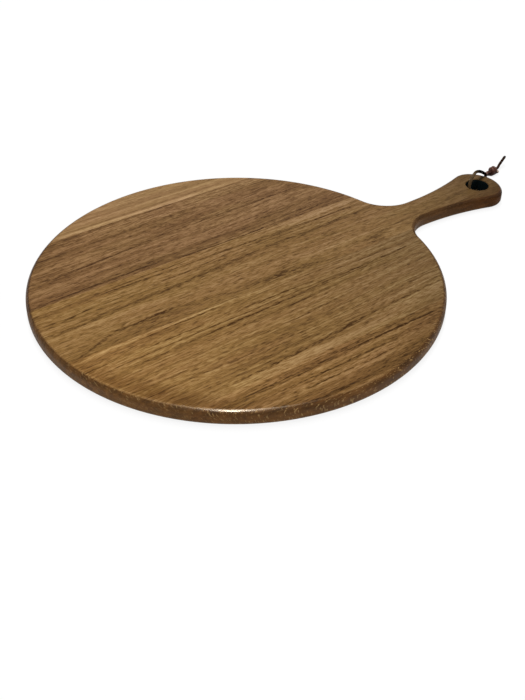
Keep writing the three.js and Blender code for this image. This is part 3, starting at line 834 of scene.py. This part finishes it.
def oiled_oak(name, plank):
    """Oiled oak, sanded and satin. The eye gets long streaks along the grain, growth rings that are dark
    where the open pores of the early wood hold the oil, short dashes of pores, pale rays and the plank's own
    lines of figure. The rim is redder from oil and darker by painted shade, its rounding shines where it is
    worn, and painted shade darkens the handle."""
    material, tree = new_material(name)
    place = add(tree, "ShaderNodeTexCoord").outputs["Object"]
    here = add(tree, VECTOR, {0: place, "Scale": 1 / MM}, operation="SCALE")
    x, y, z = add(tree, SPLIT, {0: here}).outputs
    waver, across, straight = grain_course(tree, plank, here, x, y, z)
    ring, ray_place = growth_rings(tree, plank, x, z, across)
    shade, mottle, pores = grain_shade(tree, plank, x, y, waver, straight, ring, ray_place)
    wood = wood_colour(tree, plank, x, shade, straight)

    # Where the surface turns: the rounding with the wall, and the wall alone
    facing = add(tree, "ShaderNodeTexCoord").outputs["Normal"]
    tilt = add(tree, SPLIT, {0: facing}).outputs[2]
    upward = add(tree, MATH, {0: tilt}, operation="ABSOLUTE")
    rim = add(tree, RANGE, {0: upward, 1: ROUNDING_FROM, 2: ROUNDING_TO})
    wall = add(tree, RANGE, {0: upward, 1: WALL_FROM, 2: WALL_TO})

    # The outer rim alone takes the rim's colour: the hole's rim keeps the top's colour, and its wall is
    # painted nearly black, a painted shadow
    plane = add(tree, JOIN, {0: x, 1: y})
    hole_middle = (HOLE_X / MM, 0.0, 0.0)
    hole = HOLE_RADIUS / MM
    from_hole = add(tree, VECTOR, {0: plane, 1: hole_middle}, operation="DISTANCE").outputs["Value"]
    in_hole = add(tree, RANGE, {0: from_hole, 1: hole + HOLE_WALL_FROM, 2: hole + HOLE_WALL_TO})
    outside = add(tree, RANGE, {0: from_hole, 1: hole + HOLE_RIM_FROM, 2: hole + HOLE_RIM_TO})
    outer_rim = add(tree, MATH, {0: rim, 1: outside}, operation="MULTIPLY")
    top = top_colour(tree, wood, plane)
    edge = rim_colour(tree, plank, wood, tilt, straight, ray_place)
    before_handle_shade = add(tree, MIX, {0: outer_rim, 6: top, 7: edge}, data_type="RGBA").outputs[2]

    # Painted shade darkens the handle towards its end, most along its front side
    grip_and_shade = add(tree, RANGE, {0: x, 1: GRIP_AND_SHADE_FROM, 2: GRIP_AND_SHADE_TO})
    side = add(tree, RANGE, {0: y, 1: FRONT_SHADE_FROM, 2: FRONT_SHADE_TO})
    handle_top_shade = add(tree, MIX, {0: side, 6: HANDLE_END_SHADE, 7: FRONT_SIDE_SHADE}, data_type="RGBA").outputs[2]
    multiplier = add(tree, MIX, {0: outer_rim, 6: handle_top_shade, 7: HANDLE_RIM_SHADE}, data_type="RGBA").outputs[2]
    shaded_handle = tinted(tree, before_handle_shade, multiplier, grip_and_shade)
    # Painted shadow inside the hole
    colour = add(tree, MIX, {0: in_hole, 6: shaded_handle, 7: linear(HOLE_SHADOW_COLOUR)}, data_type="RGBA").outputs[2]

    # Satin on the top, smooth on the rounding, matt on the wall, with pores open on the top alone
    from_dark = {0: mottle, 1: -1.0, 2: 1.0, 3: DARK_MOTTLE_ROUGHNESS, 4: PALE_MOTTLE_ROUGHNESS}
    sanded = add(tree, RANGE, from_dark)
    eased = add(tree, RANGE, {0: rim, 3: sanded, 4: ROUNDING_ROUGHNESS})
    roughness = add(tree, RANGE, {0: wall, 3: eased, 4: WALL_ROUGHNESS})
    open_pores = add(tree, RANGE, {0: rim, 3: pores, 4: 0.0})
    relief = {"Strength": PORE_RELIEF, "Distance": PORE_DEPTH, "Height": open_pores}
    bump = add(tree, "ShaderNodeBump", relief, invert=True)

    # Polish: the rounding shines at the front, less at the rear, and the hole not at all
    rearward = add(tree, VECTOR, {0: facing, 1: REARWARD}, operation="DOT_PRODUCT").outputs["Value"]
    from_rear = {0: rearward, 1: REAR_FACING, 2: FRONT_FACING, 3: REAR_POLISH, 4: FRONT_POLISH}
    rubbed = add(tree, RANGE, from_rear)
    rounding_polish = add(tree, MATH, {0: outside, 1: rubbed}, operation="MULTIPLY")
    wall_polish = add(tree, RANGE, {0: grip_and_shade, 3: WALL_POLISH, 4: GRIPPED_WALL_POLISH})
    rim_polish = add(tree, RANGE, {0: wall, 3: rounding_polish, 4: wall_polish})
    outer_polish = add(tree, RANGE, {0: rim, 3: TOP_POLISH, 4: rim_polish})
    polish = add(tree, RANGE, {0: in_hole, 3: outer_polish, 4: 0.0})
    shader = add(tree, "ShaderNodeBsdfPrincipled", {
        "Base Color": colour, "Roughness": roughness, "IOR": OIL_IOR, "Specular IOR Level": polish,
        "Specular Tint": linear(OIL_TINT), "Normal": bump,
    })
    add(tree, "ShaderNodeOutputMaterial", {0: shader})
    return material


# Planks: colours from dark to pale, the tone towards the handle as painted shade and sheen, pith in
# millimetres, and figure as start, stop, half width and amount
PLANKS = {
    "rear_edge_stave": dict(
        seed=1, colours=("#5f4324", "#927148", "#c4a273"), light_falloff=(1.02, 1.05, 1.12),
        pith=(260, 40), slope=0.0, lean=0.0, ring=5.0, sway=3, ripple=0.5, ray_reach=90,
        streak=0.15, ring_dark=0.16, dash=0.14, mottle=0.06, ray=0.05, lift=0.03, fleck=0.08,
        figure=[
            ((-128, 157), (120, 157), 4.5, 0.48), ((-105, 162), (100, 162.5), 1.6, -0.2),
            ((-80, 172), (85, 171), 2.4, 0.16), ((-60, 180), (60, 181), 2, -0.16),
        ],
    ),
    "rear_stave": dict(
        seed=2, colours=("#412915", "#795934", "#ac885c"), light_falloff=(0.96, 0.99, 1.1),
        pith=(320, -60), slope=0.03, lean=0.0, ring=6.5, sway=4, ripple=0.7, ray_reach=220,
        streak=0.24, ring_dark=0.2, dash=0.27, mottle=0.08, ray=0.05, lift=0.09, fleck=0.1,
        figure=[
            ((-110, 147), (140, 146), 8, 0.12), ((-155, 127), (-20, 132), 4, -0.2),
            ((-168, 92), (-30, 103), 2.0, -0.5), ((-60, 105), (150, 107), 1.8, -0.45),
            ((-185, 59), (-50, 62), 1.6, -0.5), ((-80, 57.5), (180, 58), 1.8, -0.45),
            ((-40, 81), (140, 83), 1.5, -0.4),
        ],
    ),
    "handle_stave": dict(
        seed=3, colours=("#452c13", "#886637", "#bb9867"), light_falloff=(0.88, 0.93, 1.14),
        pith=(-24, -45), slope=0.0, lean=0.035, ring=6.0, sway=4, ripple=0.8, ray_reach=60,
        streak=0.2, ring_dark=0.15, dash=0.24, mottle=0.07, ray=0.04, lift=0.078, fleck=0.15,
        figure=[
            ((-190, 48), (200, 50), 6, 0.13), ((-150, 46), (190, 39), 2.0, -0.46),
            ((-110, 35), (30, 30), 1.7, -0.38), ((-192, 22), (-110, 35), 1.7, -0.42),
            ((-190, -21), (110, -24), 9, -0.16), ((-186, -33), (-132, -12), 2.8, -1.4),
            ((-158, -17), (-60, -12), 2.2, -0.8), ((0, -22), (90, -25), 5, -0.26),
        ],
    ),
    "front_stave": dict(
        seed=4, colours=("#482c0f", "#916c3a", "#c8a46b"), light_falloff=(0.58, 0.64, 0.82),
        pith=(-330, -90), slope=0.035, lean=0.0, ring=7.0, sway=4, ripple=0.7, ray_reach=260,
        streak=0.25, ring_dark=0.18, dash=0.22, mottle=0.075, ray=0.04, lift=0.08, fleck=0.35,
        figure=[
            ((-195, -35), (60, -34), 5, 0.24), ((-150, -38), (-30, -36), 1.5, -0.45),
            ((-198, -52), (70, -49), 1.7, -0.56), ((-180, -70), (190, -50), 1.7, -0.42),
            ((-185, -78), (60, -66), 1.5, -0.42), ((-155, -100), (70, -83), 1.6, -0.42),
            ((-145, -135), (-20, -129), 2.2, -0.5), ((-60, -132), (60, -120), 2.6, -0.42),
            ((30, -121), (180, -116), 2.2, -0.4),
        ],
    ),
    "front_edge_stave": dict(
        seed=5, colours=("#42280c", "#8d6736", "#bb945e"), light_falloff=(0.68, 0.74, 0.96),
        pith=(-190, -60), slope=0.02, lean=0.0, ring=3.4, sway=4, ripple=0.7, ray_reach=70,
        streak=0.33, ring_dark=0.2, dash=0.25, mottle=0.09, ray=0.12, lift=0.1, fleck=0.75,
        figure=[
            ((-130, -144), (60, -147), 2.4, 0.2), ((-100, -154), (110, -152), 1.8, -0.6),
            ((-85, -165), (105, -164), 1.8, -0.6), ((-65, -173), (95, -174), 1.8, -0.5),
            ((-60, -160), (80, -158), 2.2, 0.3),
        ],
    ),
}

# Leather: dye, with painted light and shade, along the thong, in millimetres from the tail's tip, and its wax
CORD_RAMP_SPAN = 240.0
# Painted highlights on the knot's core from 49 to 56 and on the crowns of its wraps from 199 to 203 and 219 to
# 224, painted shade from 63 to 90 over the handle's end, and painted light from 97 to 122 on the strand in the
# hole; the rest is dye, and the last stop is the raw cut end
DYE_AND_PAINTED_LIGHT = (
    (0, "#2a1c14"), (3, "#29190f"), (22, "#311b10"), (29, "#3c241b"), (44, "#503227"), (49, "#8a6253"),
    (56, "#7d5647"), (63, "#1c120d"), (72, "#0d0806"), (90, "#120c08"), (97, "#32271a"), (104, "#5f4b31"),
    (122, "#6b5537"), (150, "#2c1d16"), (188, "#3a2219"), (195, "#3a2219"), (199, "#623f32"),
    (203, "#623f32"), (208, "#33201a"), (215, "#33201a"), (219, "#5c3b2f"), (224, "#5c3b2f"),
    (229, "#3a241c"), (236.3, "#3a241c"), (236.9, "#c7a890"),
)
LEATHER_DETAIL = 2.0
BLOTCH = 4 * MM
BLOTCH_LOW, BLOTCH_HIGH = 0.3, 0.7
BLOTCH_LEAST, BLOTCH_MOST = 0.82, 1.18
# Painted light on the ridges of the twist and painted shade in its hollows
HOLLOW_LIGHT, RIDGE_LIGHT = 0.75, 1.25
LEATHER_GRAIN = 0.7 * MM
LEATHER_GRAIN_DEPTH = 0.1 * MM
LEATHER_RELIEF = 0.3
LEATHER_ROUGHNESS = 0.45
LEATHER_IOR = 1.5
MATT_MIDDLE, MATT_HALF, MATT_END = 80.0, 20.0, 28.0  # the black stretch of painted shade, from its middle
DRY_TAIL_TO, WAXED_FROM = 22.0, 30.0
DRY_WAX, WAX = 0.03, 0.2


def waxed_leather():
    """Round leather thong, dyed brown, twisted and waxed. The eye gets a dry dark tail, a redder stretch
    where the knot has strained it, with painted highlights on its core and on the crown of each wrap, painted
    shade in matt black over the handle's end, painted light on the strand in the hole, painted light on the
    ridges of the twist and painted shade in its hollows, and a raw cut end."""
    material, tree = new_material("waxed_leather_thong")
    place = add(tree, "ShaderNodeTexCoord").outputs["Object"]
    from_tip = add(tree, "ShaderNodeAttribute", attribute_name="from_tip").outputs["Fac"]
    twist = add(tree, "ShaderNodeAttribute", attribute_name="twist").outputs["Fac"]
    share = add(tree, MATH, {0: from_tip, 1: CORD_RAMP_SPAN}, operation="DIVIDE")
    dye_and_light = add(tree, "ShaderNodeValToRGB", {0: share})
    for at, _ in DYE_AND_PAINTED_LIGHT[2:]:
        dye_and_light.color_ramp.elements.new(at / CORD_RAMP_SPAN)
    for element, (at, colour) in zip(dye_and_light.color_ramp.elements, DYE_AND_PAINTED_LIGHT):
        element.position = at / CORD_RAMP_SPAN
        element.color = linear(colour)
    blotch = add(tree, NOISE, {"Vector": place, "Scale": 1 / BLOTCH, "Detail": LEATHER_DETAIL})
    spread = {0: blotch, 1: BLOTCH_LOW, 2: BLOTCH_HIGH, 3: BLOTCH_LEAST, 4: BLOTCH_MOST}
    uneven = add(tree, RANGE, spread)
    # Painted light on the twist's ridges, painted shade in its hollows
    ridge = add(tree, RANGE, {0: twist, 1: -1.0, 2: 1.0, 3: HOLLOW_LIGHT, 4: RIDGE_LIGHT})
    light = add(tree, MATH, {0: uneven, 1: ridge}, operation="MULTIPLY")
    colour = add(tree, VECTOR, {0: dye_and_light, "Scale": light}, operation="SCALE")
    grain = add(tree, NOISE, {"Vector": place, "Scale": 1 / LEATHER_GRAIN, "Detail": LEATHER_DETAIL})
    relief = {"Strength": LEATHER_RELIEF, "Distance": LEATHER_GRAIN_DEPTH, "Height": grain}
    bump = add(tree, "ShaderNodeBump", relief)
    from_matt = add(tree, MATH, {0: from_tip, 1: MATT_MIDDLE}, operation="SUBTRACT")
    beyond = add(tree, MATH, {0: from_matt}, operation="ABSOLUTE")
    waxed = add(tree, RANGE, {0: from_tip, 1: DRY_TAIL_TO, 2: WAXED_FROM, 3: DRY_WAX, 4: WAX})
    wax = add(tree, RANGE, {0: beyond, 1: MATT_HALF, 2: MATT_END, 3: 0.0, 4: waxed})
    shader = add(tree, "ShaderNodeBsdfPrincipled", {
        "Base Color": colour, "Roughness": LEATHER_ROUGHNESS, "IOR": LEATHER_IOR, "Specular IOR Level": wax,
        "Normal": bump,
    })
    add(tree, "ShaderNodeOutputMaterial", {0: shader})
    return material


# Stage
FLOOR_HALF = 12.0
FLOOR_DROP = 0.3 * MM  # keeps the floor clear of the board's flat underside
FLOOR_SEEN = "#fcfcfc"
FLOOR_LIT = "#a0a0a0"
WHITE = "#ffffff"
FLOOR_GLOW = 0.88  # the rest of what is seen of the floor is paint, which keeps the shadow
LAMP_DISTANCE = 5.0
LAMP_WIDTH = 0.25
LAMP_LENGTH = 4.4
LAMP_POWER = 262.0
LAMP_TOWARDS = (0.06, 0.113, 0.992)
LAMP_ALONG = (0.503, 0.669, -0.105)
ROOM_FRONT = (-0.58334, -0.81223, 0.0)
ROOM_DARK_FROM, ROOM_BRIGHT_TO = -0.3, 0.5  # a direction's part towards the front
ROOM_DARK, ROOM_BRIGHT = 0.12, 0.85
ROOM_LOW, ROOM_HIGH = 0.03, 0.4  # a direction's upward part
CEILING = 0.16


def white_floor():
    """White floor that throws little light back on the board: bright to the eye, in reflections and through
    glass, and grey paint to the light that falls on it."""
    half = FLOOR_HALF
    corners = np.array([[-half, -half], [half, -half], [half, half], [-half, half]])
    level = np.full((4, 1), -FLOOR_DROP)
    made = mesh_object("floor", np.hstack([corners, level]), [[0, 1, 2, 3]], [False])
    material, tree = new_material("white_floor")
    sight = add(tree, "ShaderNodeLightPath").outputs
    seen = add(tree, MATH, {0: sight["Is Camera Ray"], 1: sight["Is Glossy Ray"]}, operation="ADD")
    shown = add(tree, MATH, {0: seen, 1: sight["Is Transmission Ray"]}, operation="ADD", use_clamp=True)
    white = add(tree, MIX, {0: shown, 6: linear(FLOOR_LIT), 7: linear(FLOOR_SEEN)}, data_type="RGBA")
    paint = add(tree, "ShaderNodeBsdfDiffuse", {"Color": white.outputs[2]})
    bright = add(tree, "ShaderNodeEmission", {"Color": linear(WHITE), "Strength": 1.0})
    share = add(tree, MATH, {0: shown, 1: FLOOR_GLOW}, operation="MULTIPLY")
    lit = add(tree, "ShaderNodeMixShader", {0: share, 1: paint, 2: bright})
    add(tree, "ShaderNodeOutputMaterial", {0: lit})
    made.data.materials.append(material)


def strip_lamp():
    """A long narrow lamp overhead, which looks down at the board, from its front left to its rear right."""
    lamp = bpy.data.lights.new("strip_lamp", "AREA")
    lamp.shape = "RECTANGLE"
    lamp.size = LAMP_WIDTH
    lamp.size_y = LAMP_LENGTH
    lamp.energy = LAMP_POWER
    overhead = bpy.data.objects.new("strip_lamp", lamp)
    above = Vector(LAMP_TOWARDS).normalized()
    aside = Vector(LAMP_ALONG).cross(above).normalized()
    turned = Matrix([aside, above.cross(aside), above]).transposed().to_4x4()
    overhead.matrix_world = Matrix.Translation(LAMP_DISTANCE * above) @ turned
    bpy.context.scene.collection.objects.link(overhead)


def room():
    """A room that is bright low on its front side, and dim behind the board and above it."""
    world = bpy.data.worlds.new("studio")
    bpy.context.scene.world = world
    world.use_nodes = True
    tree = world.node_tree
    tree.nodes.clear()
    direction = add(tree, "ShaderNodeTexCoord").outputs["Generated"]
    height = add(tree, SPLIT, {0: direction}).outputs[2]
    facing = add(tree, VECTOR, {0: direction, 1: ROOM_FRONT}, operation="DOT_PRODUCT").outputs["Value"]
    round_about = {0: facing, 1: ROOM_DARK_FROM, 2: ROOM_BRIGHT_TO, 3: ROOM_DARK, 4: ROOM_BRIGHT}
    low_light = add(tree, RANGE, round_about, interpolation_type="SMOOTHSTEP")
    upwards = {0: height, 1: ROOM_LOW, 2: ROOM_HIGH, 3: low_light, 4: CEILING}
    glow = add(tree, RANGE, upwards, interpolation_type="SMOOTHSTEP")
    sky = add(tree, "ShaderNodeBackground", {"Color": linear(WHITE), "Strength": glow})
    add(tree, "ShaderNodeOutputWorld", {0: sky})


bpy.context.scene.view_settings.view_transform = "Standard"
photograph_camera()
leather_cord(waxed_leather())
for node, piece in build_staves().items():
    piece.data.materials.clear()
    piece.data.materials.append(oiled_oak("oiled_oak_" + node, PLANKS[node]))
    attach(piece, "root")
    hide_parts(node)
white_floor()
strip_lamp()
room()
